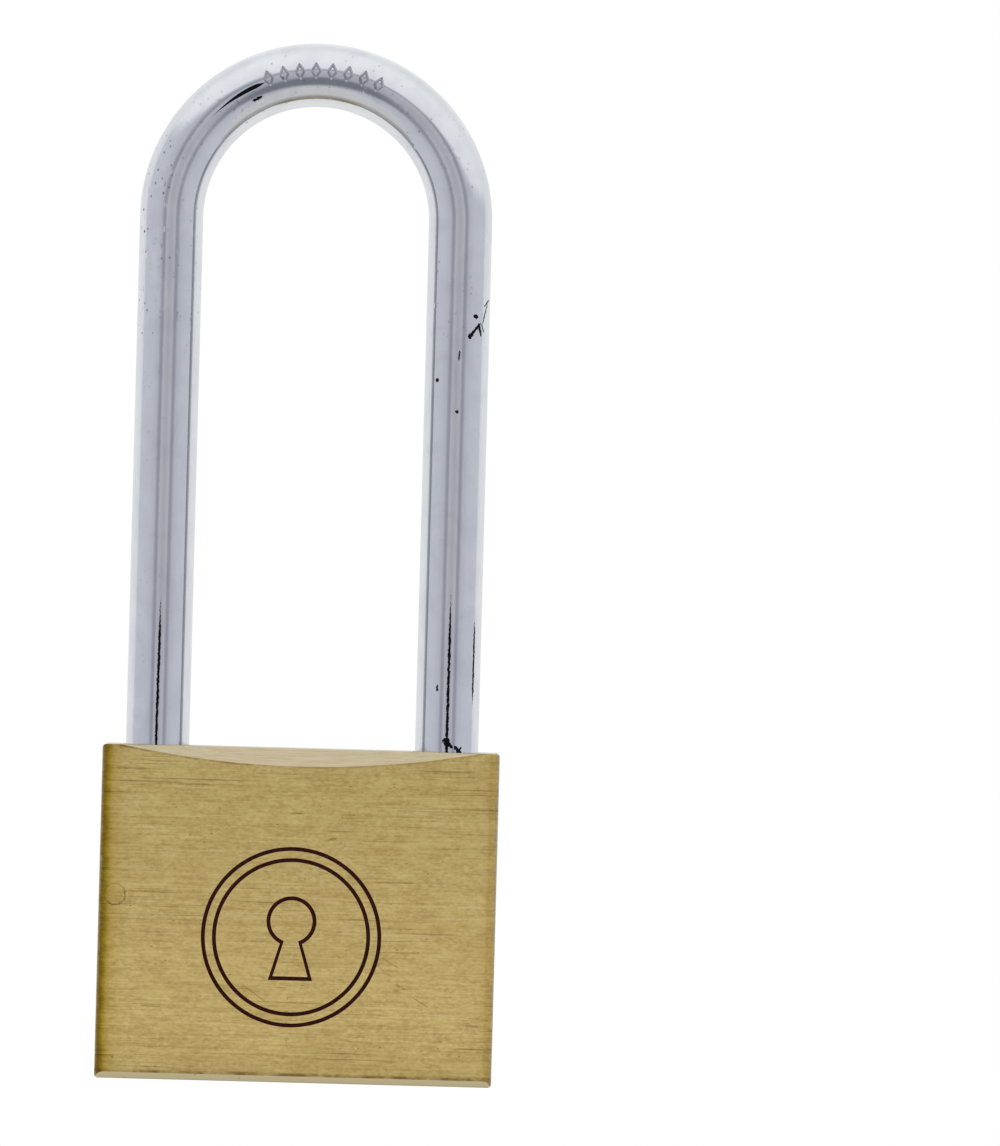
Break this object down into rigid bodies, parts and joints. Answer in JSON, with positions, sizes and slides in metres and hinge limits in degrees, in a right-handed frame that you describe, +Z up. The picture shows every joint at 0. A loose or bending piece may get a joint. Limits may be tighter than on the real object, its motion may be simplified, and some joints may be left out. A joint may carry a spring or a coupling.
{
  "type": "long-shackle padlock",
  "caption": "Rectangular solid brass block padlock with a tall chromed U shackle, keyed from below, with a pin-tumbler cylinder, cam and spring bolt inside.",
  "frame": {"origin": "middle of the block's bottom face", "axes": "+Z up along the shackle legs, +X across the block towards the toe leg, which comes free, and the front face looks along -Y"},
  "size_m": [0.05, 0.017, 0.131],
  "materials": {
    "brushed_brass": "horizontally brushed, lightly tarnished",
    "turned_brass": "turned",
    "chrome_plate": "polished plate with fine pits",
    "bright_steel": "turned",
    "spring_wire": "drawn wire"
  },
  "bodies": {
    "block": {"lock_body": "brushed_brass", "chamber_plug_1": "turned_brass", "chamber_plug_2": "turned_brass", "chamber_plug_3": "turned_brass", "chamber_plug_4": "turned_brass", "chamber_plug_5": "turned_brass", "bolt_bore_plug": "turned_brass", "plug_retaining_pin": "turned_brass", "shackle_retaining_pin": "turned_brass", "pin_spring_1": "spring_wire", "pin_spring_2": "spring_wire", "pin_spring_3": "spring_wire", "pin_spring_4": "spring_wire", "pin_spring_5": "spring_wire", "bolt_spring": "spring_wire", "shackle_spring": "spring_wire"},
    "shackle": {"shackle": "chrome_plate"},
    "cylinder": {"cylinder_plug": "turned_brass", "cam": "bright_steel"},
    "bolt": {"locking_bolt": "bright_steel"},
    "driver_1": {"driver_pin_1": "bright_steel"},
    "driver_2": {"driver_pin_2": "bright_steel"},
    "driver_3": {"driver_pin_3": "bright_steel"},
    "driver_4": {"driver_pin_4": "bright_steel"},
    "driver_5": {"driver_pin_5": "bright_steel"},
    "key_pin_1": {"key_pin_1": "turned_brass"},
    "key_pin_2": {"key_pin_2": "turned_brass"},
    "key_pin_3": {"key_pin_3": "turned_brass"},
    "key_pin_4": {"key_pin_4": "turned_brass"},
    "key_pin_5": {"key_pin_5": "turned_brass"}
  },
  "joints": [
    {"name": "shackle_lift", "type": "slide", "parent": "block", "child": "shackle", "axis": [0, 0, 1], "range_m": [0, 0.013], "deforming": ["shackle_spring"]},
    {"name": "plug_turn", "type": "hinge", "parent": "block", "child": "cylinder", "pos_m": [0, 0, 0.0149], "axis": [0, 0, -1], "range_deg": [0, 90]},
    {"name": "bolt_slide", "type": "slide", "parent": "block", "child": "bolt", "axis": [1, 0, 0], "range_m": [0, 0.0027], "deforming": ["bolt_spring"]},
    {"name": "tumbler_driver_1", "type": "slide", "parent": "block", "child": "driver_1", "axis": [1, 0, 0], "range_m": [0, 0.0016], "stiffness_N_per_m": 60, "springref_m": -0.004, "deforming": ["pin_spring_1"]},
    {"name": "tumbler_driver_2", "type": "slide", "parent": "block", "child": "driver_2", "axis": [1, 0, 0], "range_m": [0, 0.0016], "stiffness_N_per_m": 60, "springref_m": -0.004, "deforming": ["pin_spring_2"]},
    {"name": "tumbler_driver_3", "type": "slide", "parent": "block", "child": "driver_3", "axis": [1, 0, 0], "range_m": [0, 0.0016], "stiffness_N_per_m": 60, "springref_m": -0.004, "deforming": ["pin_spring_3"]},
    {"name": "tumbler_driver_4", "type": "slide", "parent": "block", "child": "driver_4", "axis": [1, 0, 0], "range_m": [0, 0.0016], "stiffness_N_per_m": 60, "springref_m": -0.004, "deforming": ["pin_spring_4"]},
    {"name": "tumbler_driver_5", "type": "slide", "parent": "block", "child": "driver_5", "axis": [1, 0, 0], "range_m": [0, 0.0016], "stiffness_N_per_m": 60, "springref_m": -0.004, "deforming": ["pin_spring_5"]},
    {"name": "tumbler_key_pin_1", "type": "slide", "parent": "cylinder", "child": "key_pin_1", "axis": [0, -1, 0], "range_m": [0, 0.0011]},
    {"name": "tumbler_key_pin_2", "type": "slide", "parent": "cylinder", "child": "key_pin_2", "axis": [0, -1, 0], "range_m": [0, 0.00115]},
    {"name": "tumbler_key_pin_3", "type": "slide", "parent": "cylinder", "child": "key_pin_3", "axis": [0, -1, 0], "range_m": [0, 0.0004]},
    {"name": "tumbler_key_pin_4", "type": "slide", "parent": "cylinder", "child": "key_pin_4", "axis": [0, -1, 0], "range_m": [0, 0.0004]},
    {"name": "tumbler_key_pin_5", "type": "slide", "parent": "cylinder", "child": "key_pin_5", "axis": [0, -1, 0], "range_m": [0, 0.0017]}
  ],
  "couplings": [
    {"joint": "bolt_slide", "follows": "plug_turn", "m_per_rad": 0.001655}
  ]
}
